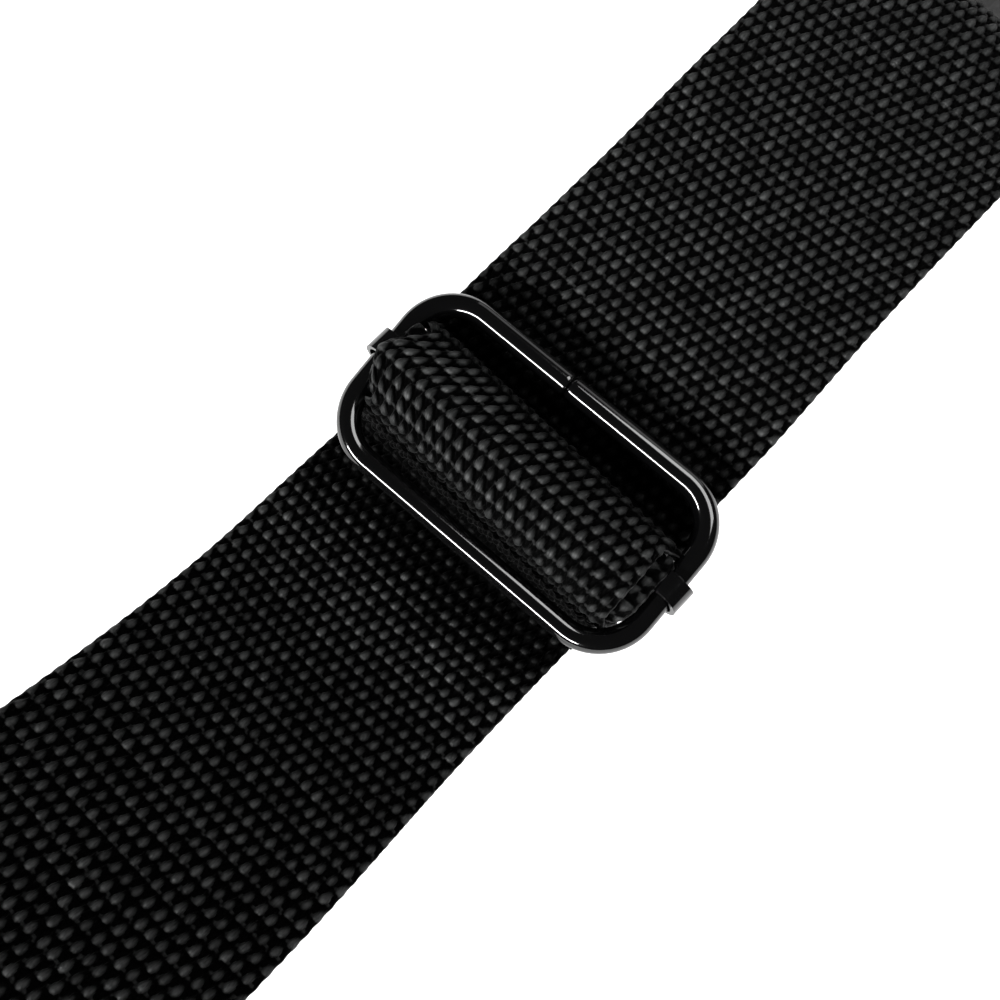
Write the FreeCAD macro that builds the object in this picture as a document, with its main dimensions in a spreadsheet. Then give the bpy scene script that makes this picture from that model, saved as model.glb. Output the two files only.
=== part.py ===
import FreeCAD, Part
import math
import os
import Sketcher

# Adjustable guitar strap of 50 mm webbing, laid down in a Z-fold as it is stored.
# Frame: X along the strap, Y across it, Z up, with the surface that it lies on at Z = 0.
# From end tab A the webbing runs left along the floor, folds back right, turns over a
# bight at the right end and reaches the slide from the right. It passes under the slide's
# upper wire, over the movable bar and under the lower wire, climbs a hump to the left and
# comes down to the end ring of tab B. It turns back round that ring, and its end is sewn
# round the movable bar.

doc = FreeCAD.newDocument("guitar_strap")
vec = FreeCAD.Vector

# Driving dimensions, in millimetres and degrees.
SIZES = {
    # webbing
    "webbing_width": 49.5,
    "webbing_thickness": 1.6,
    "squeezed_width": 46.0,  # across the webbing where it goes through the slide
    "layer_gap": 0.3,  # clearance between layers and bodies
    # slide
    "wire_diameter": 3.7,
    "slide_inner_width": 50.4,
    "slide_inner_height": 24.0,
    "slide_corner_radius": 7.9,  # of the wire's centre line
    "slide_shift": -1.7,  # the slide hangs a little to one side of the webbing
    "slide_turn": 3.6,  # and the loop is a little askew on the bar
    "slide_tilt": 5.5,
    "butt_gap": 0.15,  # between the wire's two ends
    "butt_place": 3.6,  # from the middle of the loop's long side
    "slide_level": 27.0,  # height of the wire's centre line
    "bar_width": 6.5,
    "bar_thickness": 0.8,
    "bar_level": 27.8,  # height of the flat strip's middle
    "curl_width": 4.0,
    "curl_clearance": 0.5,
    # end ring
    "ring_inner_width": 50.8,
    "ring_inner_length": 14.0,
    "ring_corner_radius": 2.9,  # of the ring's centre line
    "ring_place": -250.0,  # where the ring's webbing side lies along X
    # folds of the shoulder webbing
    "bight_place": 111.0,  # outermost centre line of the right-hand bight
    "bight_radius": 10.6,
    "bight_top": 29.9,
    "fold_place": -95.5,  # outermost centre line of the left-hand fold
    "fold_radius": 3.5,
    "upper_run_level": 23.8,  # centre line where it meets the slide
    "upper_run_start": 14.0,
    "upper_run_end": 88.0,  # from here on the webbing never moves
    "seam_lead": 1.5,  # between a tab's inner end and the ramp up to its back leather
    "seam_ramp": 16.5,
    "seam_ramp_radius": 40.0,
    # hump between the slide and the ring
    "valley_level": 11.6,
    "rise_start": -35.0,
    "rise_level": 14.4,
    "crest_place": -129.0,
    "crest_level": 60.5,
    "hump_foot": -200.0,
    "rise_radius": 60.0,
    "crest_radius": 34.0,
    "foot_radius": 30.0,
    "lift_run": 10.0,  # where the upper layer lifts on to the ring, and beside it
    "lift_radius": 20.0,
    # roll over the movable bar
    "roll_width": 44.0,
    "roll_right": 6.3,
    "roll_left": -8.6,
    "roll_shoulder": 30.7,
    "roll_middle": -1.2,
    "roll_crown": 33.4,
    "roll_corner": 4.2,
    "roll_crown_radius": 12.0,
    "roll_foot": 2.5,
    "sewn_corner": 3.4,
    "sewn_bend": 1.2,  # tightest bend of the webbing's middle
    "slide_webbing_end": 17.0,  # where the slide's own stretch of webbing ends, each side
    "flap_end": 13.5,  # height of the cut end of the sewn webbing
    # leather end tabs
    "tab_start": 112.0,  # inner end of tab A along X
    "tab_length": 95.0,
    "tab_width": 53.0,
    "tip_width": 36.0,
    "neck_radius": 14.0,
    "end_radius": 3.0,
    "shoulder_start": 38.0,  # along the tab, where it starts to narrow
    "shoulder_end": 60.0,
    "front_thickness": 2.2,
    "back_thickness": 1.2,
    "sewn_length": 26.0,  # of webbing between the leathers
    "leather_ramp_lead": 1.5,
    "leather_ramp": 10.5,
    "leather_ramp_radius": 8.0,
    "button_hole_diameter": 9.0,
    "button_hole_from_tip": 22.0,
    "slit_length": 13.0,
    "slit_width": 0.9,
    "tab_b_offset": 16.0,  # from the ring's far side to tab B's leather
    "loop_lead": 1.0,
    "loop_lower_ramp": 7.0,
    "loop_upper_ramp": 9.0,
    "loop_ramp_radius": 12.0,
    "loop_upper_radius": 5.0,
    # thread
    "stitch_length": 3.0,
    "stitch_pitch": 4.0,
    "thread_width": 0.9,
    "thread_height": 0.5,
    "edge_margin": 4.0,  # from the leather's edge to its seam
}

sheet = doc.addObject("Spreadsheet::Sheet", "sizes")
for row, (name, value) in enumerate(SIZES.items(), 1):
    sheet.set(f"A{row}", name)
    sheet.set(f"B{row}", str(value))
    sheet.setAlias(f"B{row}", name)
doc.recompute()


def size(name):
    """One driving dimension, read from the sheet."""
    return float(getattr(sheet, name))


width = size("webbing_width")
thick = size("webbing_thickness")
gap = size("layer_gap")
wire_radius = size("wire_diameter") / 2
layer_step = thick + gap  # between the middles of two layers that lie together
wrap_radius = wire_radius + gap + thick / 2  # middle of webbing wrapped round a wire
subparts = []


def keep(obj, label):
    """Names a finished sub-part's node."""
    obj.Label = label
    subparts.append(obj)
    return obj


# ---- webbing: strips of constant thickness along a path of straight runs and arcs ----


def rounded_path(points):
    """Straight runs and arcs through (x, z, radius) points, as (start, middle, end, turn)."""
    flat = [vec(x, 0, z) for x, z, _ in points]
    pieces = []
    last = flat[0]
    for before, corner, after, (_, _, radius) in zip(flat, flat[1:], flat[2:], points[1:]):
        heading_in = (corner - before).normalize()
        heading_out = (after - corner).normalize()
        side = heading_in.x * heading_out.z - heading_in.z * heading_out.x
        turn = math.acos(max(-1.0, min(1.0, heading_in.dot(heading_out))))
        reach = radius * math.tan(turn / 2)
        start = corner - heading_in * reach
        end = corner + heading_out * reach
        inwards = (heading_out - heading_in).normalize()
        centre = corner + inwards * (radius / math.cos(turn / 2))
        pieces.append((last, None, start, 0))
        pieces.append((start, centre, end, math.copysign(radius, side)))
        last = end
    pieces.append((last, None, flat[-1], 0))
    return [piece for piece in pieces if (piece[2] - piece[0]).Length > 1e-6]


def offset_edges(pieces, offset):
    """The path's edges, moved to its left by offset."""
    edges = []
    for start, centre, end, turn in pieces:
        if centre is None:
            heading = (end - start).normalize()
            aside = vec(-heading.z, 0, heading.x) * offset
            edges.append(Part.LineSegment(start + aside, end + aside).toShape())
            continue
        scale = (abs(turn) - math.copysign(offset, turn * offset)) / abs(turn) if offset else 1
        first = centre + (start - centre) * scale
        final = centre + (end - centre) * scale
        middle_way = ((start - centre) + (end - centre)).normalize()
        middle = centre + middle_way * (abs(turn) * scale)
        edges.append(Part.Arc(first, middle, final).toShape())
    return edges


def strip_solid(points, thickness, across, shift=0.0):
    """A strip that follows points, with its middle there, and is across wide."""
    pieces = rounded_path(points)
    left = offset_edges(pieces, thickness / 2)
    right = offset_edges(pieces, -thickness / 2)
    ends = [(left[0].Vertexes[0].Point, right[0].Vertexes[0].Point),
            (left[-1].Vertexes[-1].Point, right[-1].Vertexes[-1].Point)]
    caps = [Part.LineSegment(first, last).toShape() for first, last in ends]
    outline = Part.Wire(Part.__sortEdges__(left + right + caps))
    face = Part.Face(outline)
    face.translate(vec(0, shift - across / 2, 0))
    return face.extrude(vec(0, across, 0))


def webbing(label, points, across=None, shift=0.0):
    """A webbing sub-part. Its length along the path is printed."""
    obj = doc.addObject("Part::Feature", label)
    obj.Shape = strip_solid(points, thick, across or width, shift)
    obj.Placement = FreeCAD.Placement()
    length = sum(edge.Length for edge in offset_edges(rounded_path(points), 0.0))
    print(f"{label}: {length:.1f} mm along its middle")
    return keep(obj, label)


def beside(points, distance):
    """The same path, moved to its left, as (x, z, radius) points."""
    flat = [vec(x, 0, z) for x, z, _ in points]
    ways = [(after - before).normalize() for before, after in zip(flat, flat[1:])]
    asides = [vec(-way.z, 0, way.x) * distance for way in ways]
    moved = [(flat[0].x + asides[0].x, flat[0].z + asides[0].z, 0)]
    for index in range(1, len(points) - 1):
        before, after = ways[index - 1], ways[index]
        side = before.x * after.z - before.z * after.x
        half = math.acos(max(-1.0, min(1.0, before.dot(after)))) / 2
        aside = (asides[index - 1] + asides[index]).normalize()
        corner = flat[index] + aside * (abs(distance) / math.cos(half))
        radius = points[index][2] - math.copysign(distance, side * distance)
        moved.append((corner.x, corner.z, radius))
    moved.append((flat[-1].x + asides[-1].x, flat[-1].z + asides[-1].z, 0))
    return moved


# ---- heights that follow from the driving dimensions ----

floor_level = thick / 2  # middle of webbing that lies on the floor
seam_level = size("back_thickness") + thick / 2  # middle of webbing on the back leather
second_level = floor_level + 2 * size("fold_radius")
ring_level = floor_level + wrap_radius  # height of the ring's wires
wrap_top = floor_level + 2 * wrap_radius
slope = (size("bight_top") - size("upper_run_level")) / (
    size("bight_place") - size("upper_run_start"))
ring_far_place = size("ring_place") - size("ring_inner_length") - size("wire_diameter")


def upper_level(place):
    """Middle of the sloping upper run, right of the slide."""
    return size("upper_run_level") + (place - size("upper_run_start")) * slope


def valley_height(place):
    """Middle of the webbing that leaves the slide to the left."""
    rise = (size("rise_level") - size("valley_level")) / (size("roll_left") - size("rise_start"))
    return size("valley_level") + (size("roll_left") - place) * rise


# ---- shoulder webbing: from tab A to the slide ----

split = size("upper_run_end")
slide_side = size("slide_webbing_end")
webbing("shoulder_webbing", [
    (size("tab_start") + size("sewn_length"), seam_level, 0),
    (size("tab_start") - size("seam_lead"), seam_level, size("seam_ramp_radius")),
    (size("tab_start") - size("seam_lead") - size("seam_ramp"), floor_level,
     size("seam_ramp_radius")),
    (size("fold_place"), floor_level, size("fold_radius")),
    (size("fold_place"), second_level, size("fold_radius")),
    (size("bight_place"), second_level, size("bight_radius")),
    (size("bight_place"), size("bight_top"), size("bight_radius")),
    (split, upper_level(split), 0),
])
webbing("shoulder_run", [
    (split, upper_level(split), 0),
    (slide_side, upper_level(slide_side), 0),
])

# ---- webbing in the slide ----

roll_path = [
    (slide_side, upper_level(slide_side), 0),
    (size("roll_right"), upper_level(size("roll_right")), size("roll_foot")),
    (size("roll_right"), size("roll_shoulder"), size("roll_corner")),
    (size("roll_middle"), size("roll_crown"), size("roll_crown_radius")),
    (size("roll_left"), size("roll_shoulder"), size("roll_corner")),
    (size("roll_left"), size("valley_level"), size("roll_foot")),
    (-slide_side, valley_height(-slide_side), 0),
]
webbing("slide_webbing", roll_path, size("roll_width"), size("slide_shift"))

bar_half = size("bar_width") / 2
sewn_over = size("bar_level") + size("bar_thickness") / 2 + gap + thick / 2
sewn_under = size("bar_level") - size("bar_thickness") / 2 - gap - thick / 2
sewn_left = size("roll_left") + layer_step
sewn_path = [
    (-slide_side, valley_height(-slide_side) - layer_step, 0),
    (sewn_left, valley_height(sewn_left) - layer_step, size("roll_foot") + layer_step),
    (sewn_left, sewn_over, size("sewn_corner")),
    (bar_half + gap + thick / 2, sewn_over, size("sewn_bend")),
    (bar_half + gap + thick / 2, sewn_under, size("sewn_bend")),
    (sewn_left + layer_step, sewn_under, size("sewn_bend")),
    (sewn_left + layer_step, size("flap_end"), 0),
]
webbing("sewn_end_webbing", sewn_path, size("squeezed_width"), size("slide_shift"))

# ---- webbing between the slide and the ring: two layers over the hump ----

bight_end = size("ring_place") + size("lift_run")
lift_start = bight_end + 2 * size("lift_run")
upper_layer = [
    (-slide_side, valley_height(-slide_side), 0),
    (size("rise_start"), size("rise_level"), size("rise_radius")),
    (size("crest_place"), size("crest_level"), size("crest_radius")),
    (size("hump_foot"), floor_level + layer_step, size("foot_radius")),
    (lift_start, floor_level + layer_step, size("lift_radius")),
    (lift_start - size("lift_run"), wrap_top, size("lift_radius")),
    (bight_end, wrap_top, 0),
]
webbing("adjusting_webbing", upper_layer)
lower_layer = beside(upper_layer[:4] + [(bight_end, floor_level + layer_step, 0)], layer_step)
lower_layer[0] = (-slide_side, valley_height(-slide_side) - layer_step, 0)
webbing("return_webbing", lower_layer)
webbing("ring_bight_webbing", [
    (bight_end, wrap_top, 0),
    (size("ring_place") - wrap_radius, wrap_top, wrap_radius),
    (size("ring_place") - wrap_radius, floor_level, wrap_radius),
    (bight_end, floor_level, 0),
])

# ---- bent wires: the slide's loop and the end ring ----


def bound(obj, **expressions):
    """Binds an object's sizes and its place to the sheet."""
    for name, expression in expressions.items():
        obj.setExpression(name.replace("__", "."), expression)
    return obj


def wire_side(name, turn, length, place_x, place_y, level):
    """One straight side of a wire rectangle, as a cylinder."""
    side = doc.addObject("Part::Cylinder", name)
    side.Placement = FreeCAD.Placement(vec(), turn)
    return bound(side, Radius="sizes.wire_diameter / 2", Height=length,
                 Placement__Base__x=place_x, Placement__Base__y=place_y,
                 Placement__Base__z=level)


def wire_rectangle(label, inner_x, inner_y, corner, level, middle_x, butt_place):
    """A rectangle bent from one wire, whose ends meet on its right side."""
    half_x = f"(({inner_x}) + sizes.wire_diameter) / 2"
    half_y = f"(({inner_y}) + sizes.wire_diameter) / 2"
    along_x = FreeCAD.Rotation(vec(0, 1, 0), 90)
    along_y = FreeCAD.Rotation(vec(1, 0, 0), -90)
    length_x = f"2 * ({half_x} - {corner})"
    half_run = f"{half_y} - {corner} - sizes.butt_gap / 2"
    left = f"{middle_x} - {half_x}"
    right = f"{middle_x} + {half_x}"
    start_x = f"{middle_x} - {half_x} + {corner}"
    sides = [
        wire_side(label + "_back", along_x, length_x, start_x, half_y, level),
        wire_side(label + "_front", along_x, length_x, start_x, f"-({half_y})", level),
        wire_side(label + "_left", along_y, f"2 * ({half_y} - {corner})", left,
                  f"-({half_y} - {corner})", level),
        wire_side(label + "_right_a", along_y, f"{half_run} - {butt_place}", right,
                  f"{butt_place} + sizes.butt_gap / 2", level),
        wire_side(label + "_right_b", along_y, f"{half_run} + {butt_place}", right,
                  f"-({half_y} - {corner})", level),
    ]
    for quarter, (way_x, way_y) in enumerate(((1, 1), (-1, 1), (-1, -1), (1, -1))):
        bend = doc.addObject("Part::Torus", f"{label}_bend_{quarter}")
        bend.Angle3 = 90
        bend.Placement = FreeCAD.Placement(vec(), FreeCAD.Rotation(vec(0, 0, 1), 90 * quarter))
        bound(bend, Radius1=corner, Radius2="sizes.wire_diameter / 2",
              Placement__Base__x=f"{middle_x} + {way_x} * ({half_x} - {corner})",
              Placement__Base__y=f"{way_y} * ({half_y} - {corner})",
              Placement__Base__z=level)
        sides.append(bend)
    loop = doc.addObject("Part::MultiFuse", label)
    loop.Shapes = sides
    return keep(loop, label)


askew = FreeCAD.Rotation(vec(0, 0, 1), size("slide_turn")).multiply(
    FreeCAD.Rotation(vec(0, 1, 0), -size("slide_tilt")))
aside = vec(0, size("slide_shift"), 0)
wire_loop = wire_rectangle(
    "wire_loop", "sizes.slide_inner_height", "sizes.slide_inner_width",
    "sizes.slide_corner_radius", "sizes.slide_level", "0", "sizes.butt_place")
wire_loop.Placement = FreeCAD.Placement(aside, askew, vec(0, 0, size("slide_level")))
wrap_expression = "(sizes.wire_diameter / 2 + sizes.layer_gap + sizes.webbing_thickness / 2)"
ring_height = f"sizes.webbing_thickness / 2 + {wrap_expression}"
wire_rectangle("end_ring", "sizes.ring_inner_length", "sizes.ring_inner_width",
               "sizes.ring_corner_radius", ring_height,
               "(sizes.ring_place - (sizes.ring_inner_length + sizes.wire_diameter) / 2)",
               "0")

# ---- movable bar: a flat strip whose ends are curled round the loop's short sides ----

curl_place = "((sizes.slide_inner_width + sizes.wire_diameter) / 2)"
curl_bore = "(sizes.wire_diameter / 2 + sizes.curl_clearance)"
strip = doc.addObject("Part::Box", "bar_strip")
bound(strip, Length="sizes.bar_width", Height="sizes.bar_thickness",
      Width=f"2 * ({curl_place} - {curl_bore} - sizes.bar_thickness)",
      Placement__Base__x="-sizes.bar_width / 2",
      Placement__Base__y=f"-({curl_place} - {curl_bore} - sizes.bar_thickness)",
      Placement__Base__z="sizes.bar_level - sizes.bar_thickness / 2")
tongue = doc.addObject("Part::Box", "bar_tongue")
bound(tongue, Length="sizes.curl_width", Height="sizes.bar_thickness",
      Width=f"2 * ({curl_place} - {curl_bore} - sizes.bar_thickness / 4)",
      Placement__Base__x="-sizes.curl_width / 2",
      Placement__Base__y=f"-({curl_place} - {curl_bore} - sizes.bar_thickness / 4)",
      Placement__Base__z="sizes.bar_level - sizes.bar_thickness / 2")
bar_pieces = [strip, tongue]
for name, way in (("back", 1), ("front", -1)):
    # The curl leaves the strip on the inner side, goes over the wire and down its outer side.
    turn = FreeCAD.Rotation(vec(0, -way, 0), vec(0, 0, 1), vec(-way, 0, 0), "ZXY")
    tube = doc.addObject("Part::Cylinder", f"curl_{name}")
    tube.Angle = 270
    bore = doc.addObject("Part::Cylinder", f"curl_bore_{name}")
    for piece, radius in ((tube, f"{curl_bore} + sizes.bar_thickness"), (bore, curl_bore)):
        piece.Placement = FreeCAD.Placement(vec(), turn)
        bound(piece, Radius=radius, Height="sizes.curl_width",
              Placement__Base__x=f"{way} * sizes.curl_width / 2",
              Placement__Base__y=f"{way} * {curl_place}",
              Placement__Base__z="sizes.slide_level")
    curl = doc.addObject("Part::Cut", f"curl_tube_{name}")
    curl.Base, curl.Tool = tube, bore
    bar_pieces.append(curl)
bar = doc.addObject("Part::MultiFuse", "movable_bar")
bar.Shapes = bar_pieces
bar.Placement = FreeCAD.Placement(aside, FreeCAD.Rotation())
keep(bar, "movable_bar")


# ---- leather end tabs ----

# Each tab's own x runs from its inner end to its tip. Tab B is turned to point left.
tab_b_start = ring_far_place - size("tab_b_offset")
tab_places = {
    "tab_a": FreeCAD.Placement(vec(size("tab_start"), 0, 0), FreeCAD.Rotation()),
    "tab_b": FreeCAD.Placement(vec(tab_b_start, 0, 0), FreeCAD.Rotation(vec(0, 0, 1), 180)),
}
# Height of the webbing's upper face between the leathers: one layer at A, two at B.
sewn_tops = {
    "tab_a": seam_level + thick / 2,
    "tab_b": seam_level + layer_step + thick / 2,
}
OUTLINE = [
    ("0", "-sizes.tab_width / 2"),
    ("sizes.shoulder_start", "-sizes.tab_width / 2"),
    ("sizes.shoulder_end", "-sizes.tip_width / 2"),
    ("sizes.tab_length", "-sizes.tip_width / 2"),
    ("sizes.tab_length", "sizes.tip_width / 2"),
    ("sizes.shoulder_end", "sizes.tip_width / 2"),
    ("sizes.shoulder_start", "sizes.tab_width / 2"),
    ("0", "sizes.tab_width / 2"),
]
HOLE_PLACE = "(sizes.tab_length - sizes.button_hole_from_tip)"
SLIT = [
    (f"{HOLE_PLACE} - sizes.slit_length", "-sizes.slit_width / 2"),
    (HOLE_PLACE, "-sizes.slit_width / 2"),
    (HOLE_PLACE, "sizes.slit_width / 2"),
    (f"{HOLE_PLACE} - sizes.slit_length", "sizes.slit_width / 2"),
]


def value_of(expression):
    """What an expression over the sheet gives now."""
    scratch = doc.addObject("App::FeaturePython", "scratch")
    scratch.addProperty("App::PropertyFloat", "Result")
    scratch.setExpression("Result", expression)
    doc.recompute()
    result = scratch.Result
    doc.removeObject(scratch.Name)
    return result


def floor_sketch(body, name):
    """A sketch on the body's own XY plane."""
    plane = [feature for feature in body.Origin.OriginFeatures if feature.Role == "XY_Plane"][0]
    sketch = body.newObject("Sketcher::SketchObject", name)
    sketch.AttachmentSupport = (plane, "")
    sketch.MapMode = "FlatFace"
    return sketch


def bound_polygon(sketch, corners):
    """A closed polygon whose corners are bound to the sheet."""
    places = [(value_of(x), value_of(y)) for x, y in corners]
    count = len(corners)
    for index, (x, y) in enumerate(places):
        next_x, next_y = places[(index + 1) % count]
        sketch.addGeometry(Part.LineSegment(vec(x, y, 0), vec(next_x, next_y, 0)))
    for index in range(count):
        sketch.addConstraint(Sketcher.Constraint("Coincident", index, 2, (index + 1) % count, 1))
    for index in range(count):
        for kind, way in (("DistanceX", 0), ("DistanceY", 1)):
            place = places[index][way]
            rule = sketch.addConstraint(Sketcher.Constraint(kind, -1, 1, index, 1, place))
            sketch.setExpression(f"Constraints[{rule}]", corners[index][way])


def upright_edges(shape, corners):
    """Names of the upright edges that stand on the given corners."""
    places = [(value_of(x), value_of(y)) for x, y in corners]
    found = []
    for index, edge in enumerate(shape.Edges, 1):
        ends = [vertex.Point for vertex in edge.Vertexes]
        if len(ends) < 2 or abs(ends[0].z - ends[1].z) < 0.1:
            continue
        if any(math.hypot(ends[0].x - x, ends[0].y - y) < 0.01 for x, y in places):
            found.append(f"Edge{index}")
    return found


def round_corners(body, name, base, corners, radius):
    """Rounds the outline at some of its corners."""
    fillet = body.newObject("PartDesign::Fillet", name)
    fillet.Base = (base, upright_edges(base.Shape, corners))
    fillet.Radius = value_of(radius)
    fillet.setExpression("Radius", radius)
    body.Tip = fillet
    doc.recompute()
    return fillet


def leather_body(name, height):
    """A flat blank with a tab's outline, its button hole and the slit behind it."""
    body = doc.addObject("PartDesign::Body", name)
    outline = floor_sketch(body, name + "_outline")
    bound_polygon(outline, OUTLINE)
    pad = body.newObject("PartDesign::Pad", name + "_pad")
    pad.Profile = outline
    pad.setExpression("Length", height)
    body.Tip = pad
    doc.recompute()
    tip = round_corners(body, name + "_tip", pad, OUTLINE[3:5], "sizes.tip_width / 2 - 0.05")
    neck = round_corners(body, name + "_neck", tip, OUTLINE[1:3] + OUTLINE[5:7], "sizes.neck_radius")
    ends = round_corners(body, name + "_ends", neck, [OUTLINE[0], OUTLINE[7]],
                         "sizes.end_radius")
    circle = floor_sketch(body, name + "_hole_circle")
    circle.addGeometry(Part.Circle(vec(value_of(HOLE_PLACE), 0, 0), vec(0, 0, 1),
                                   size("button_hole_diameter") / 2))
    circle.addConstraint(Sketcher.Constraint("PointOnObject", 0, 3, -1))
    rule = circle.addConstraint(
        Sketcher.Constraint("DistanceX", -1, 1, 0, 3, value_of(HOLE_PLACE)))
    circle.setExpression(f"Constraints[{rule}]", HOLE_PLACE)
    rule = circle.addConstraint(
        Sketcher.Constraint("Diameter", 0, size("button_hole_diameter")))
    circle.setExpression(f"Constraints[{rule}]", "sizes.button_hole_diameter")
    slit = floor_sketch(body, name + "_slit_outline")
    bound_polygon(slit, SLIT)
    for cut_name, profile in (("_hole", circle), ("_slit", slit)):
        cut = body.newObject("PartDesign::Pocket", name + cut_name)
        cut.Profile = profile
        cut.Type = "ThroughAll"
        cut.Midplane = True
        body.Tip = cut
        doc.recompute()
        if cut.Shape.Volume >= ends.Shape.Volume - 0.1:
            raise ValueError(f"{cut.Name} cuts nothing")
        ends = cut
    return body


ramp_start = size("sewn_length") + size("leather_ramp_lead")
ramp_end = ramp_start + size("leather_ramp")
half_front = size("front_thickness") / 2


def front_profile(tab):
    """Middle of the front leather: over the webbing, then down on to the back leather."""
    over = sewn_tops[tab] + half_front
    down = size("back_thickness") + half_front
    radius = size("leather_ramp_radius")
    return [(-half_front, over, 0), (ramp_start, over, radius), (ramp_end, down, radius),
            (size("tab_length") + half_front, down, 0)]


def surface_at(tab, along):
    """Height and slope angle of the front leather's upper face, along the tab."""
    points = front_profile(tab)
    for (x0, z0, _), (x1, z1, _) in zip(points, points[1:]):
        if x0 <= along <= x1:
            angle = math.atan2(z1 - z0, x1 - x0)
            middle = z0 + (along - x0) * (z1 - z0) / (x1 - x0)
            return middle + half_front / math.cos(angle), angle
    return points[-1][1] + half_front, 0.0


def stitch(tab, along, across, heading):
    """One stitch that lies on the front leather."""
    length, broad, high = (size(name) for name in ("stitch_length", "thread_width",
                                                   "thread_height"))
    box = Part.makeBox(length, broad, high, vec(-length / 2, -broad / 2, 0))
    box.rotate(vec(), vec(0, 0, 1), math.degrees(heading))
    level, angle = surface_at(tab, along)
    box.rotate(vec(), vec(0, 1, 0), -math.degrees(angle))
    box.translate(vec(along, across, level))
    return box


def seam(tab, edges):
    """Stitches at an even pitch along some edges, which are drawn in the tab's own x and y."""
    stitches = []
    for edge in edges:
        count = max(1, int(edge.Length / size("stitch_pitch")))
        for index in range(count):
            spot = edge.getParameterByLength(edge.Length * (index + 0.5) / count)
            place, way = edge.valueAt(spot), edge.tangentAt(spot)
            if abs(surface_at(tab, place.x)[1]) > 0 or near_bend(place.x):
                continue
            stitches.append(stitch(tab, place.x, place.y, math.atan2(way.y, way.x)))
    return stitches


def near_bend(along):
    """True where the front leather is curved, so that a straight stitch can't lie on it."""
    return ramp_start - 3.5 < along < ramp_end + 3.5


def line(start, end):
    return Part.LineSegment(vec(*start, 0), vec(*end, 0)).toShape()


def box_seam_edges():
    """A rectangle with its two diagonals, which holds the webbing between the leathers."""
    near, far = size("edge_margin") + 1.5, size("sewn_length") - 4.0
    side = size("webbing_width") / 2 - 7.0
    corners = [(near, -side), (far, -side), (far, side), (near, side)]
    runs = list(zip(corners, corners[1:] + corners[:1]))
    inner = [((near + 3, -side + 4), (far - 3, side - 4)), ((near + 3, side - 4), (far - 3, -2.5))]
    return [line(*run) for run in runs] + [line(*inner[0]),
                                           line(inner[1][0], (near + 9.0, 3.0)),
                                           line((far - 9.0, -3.0), (far - 3, -side + 4))]


for tab, place in tab_places.items():
    back = leather_body(tab + "_back_body", "sizes.back_thickness")
    back.Placement = place
    keep(back, tab + "_back_leather")
    blank = leather_body(tab + "_front_blank", "12")
    bent = doc.addObject("Part::Feature", tab + "_front_bend")
    bent.Shape = strip_solid(front_profile(tab), size("front_thickness"),
                             size("tab_width") + 2)
    front = doc.addObject("Part::Common", tab + "_front_body")
    front.Base, front.Tool = blank, bent
    front.Placement = place
    keep(front, tab + "_front_leather")
    doc.recompute()
    top_face = max(back.Tip.Shape.Faces, key=lambda face: face.CenterOfMass.z)
    inset = Part.Face(top_face.OuterWire).makeOffset2D(-size("edge_margin"))
    for name, edges in (("_edge_stitching", inset.OuterWire.Edges),
                        ("_box_stitching", box_seam_edges())):
        thread = doc.addObject("Part::Feature", tab + name)
        thread.Shape = Part.makeCompound(seam(tab, edges))
        thread.Placement = place
        keep(thread, tab + name)

# Tab B's short loop of webbing: both ends are sewn between the leathers.
loop_end = tab_b_start - size("sewn_length")
upper_leg = seam_level + layer_step
lower_lead = tab_b_start + size("loop_lead")
webbing("tab_b_loop_webbing", [
    (loop_end, seam_level, 0),
    (lower_lead, seam_level, size("loop_ramp_radius")),
    (lower_lead + size("loop_lower_ramp"), floor_level, size("loop_ramp_radius")),
    (ring_far_place + wrap_radius, floor_level, wrap_radius),
    (ring_far_place + wrap_radius, wrap_top, wrap_radius),
    (lower_lead + size("loop_upper_ramp"), wrap_top, size("loop_upper_radius")),
    (lower_lead, upper_leg, size("loop_upper_radius")),
    (loop_end, upper_leg, 0),
])

# ---- thread that holds the webbing's end round the movable bar ----

flap_face = sewn_left + layer_step + thick / 2
rows = 3
row_pitch = (sewn_under - size("flap_end") - 4.0) / rows
stitch_count = int((size("squeezed_width") - 4.0) / size("stitch_pitch"))
end_stitches = []
for row in range(rows):
    level = size("flap_end") + 1.5 + row * row_pitch
    for index in range(stitch_count):
        middle = (index + 0.5 - stitch_count / 2) * size("stitch_pitch")
        end_stitches.append(Part.makeBox(
            size("thread_height"), size("stitch_length"), size("thread_width"),
            vec(flap_face, middle - size("stitch_length") / 2, level)))
end_thread = doc.addObject("Part::Feature", "sewn_end_stitching")
end_thread.Shape = Part.makeCompound(end_stitches)
end_thread.Placement = FreeCAD.Placement(aside, FreeCAD.Rotation())
keep(end_thread, "sewn_end_stitching")

# ---- checks, then one STEP file for each sub-part ----

doc.recompute()
for obj in doc.Objects:
    if "Invalid" in obj.State or "Error" in obj.State:
        raise ValueError(f"{obj.Name} failed: {obj.getStatusString()}")
for obj in subparts:
    if obj.Shape.isNull() or not obj.Shape.isValid():
        raise ValueError(f"{obj.Label} has no valid shape")
os.makedirs("parts", exist_ok=True)
for obj in subparts:
    obj.Shape.exportStep(f"parts/{obj.Label}.step")
    box = obj.Shape.BoundBox
    print(f"{obj.Label}: {len(obj.Shape.Solids)} solids, "
          f"x {box.XMin:.1f} to {box.XMax:.1f}, z {box.ZMin:.1f} to {box.ZMax:.1f}")
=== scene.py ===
import math

import bmesh
import bpy
import numpy as np
from mathutils import Matrix, Vector


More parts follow.
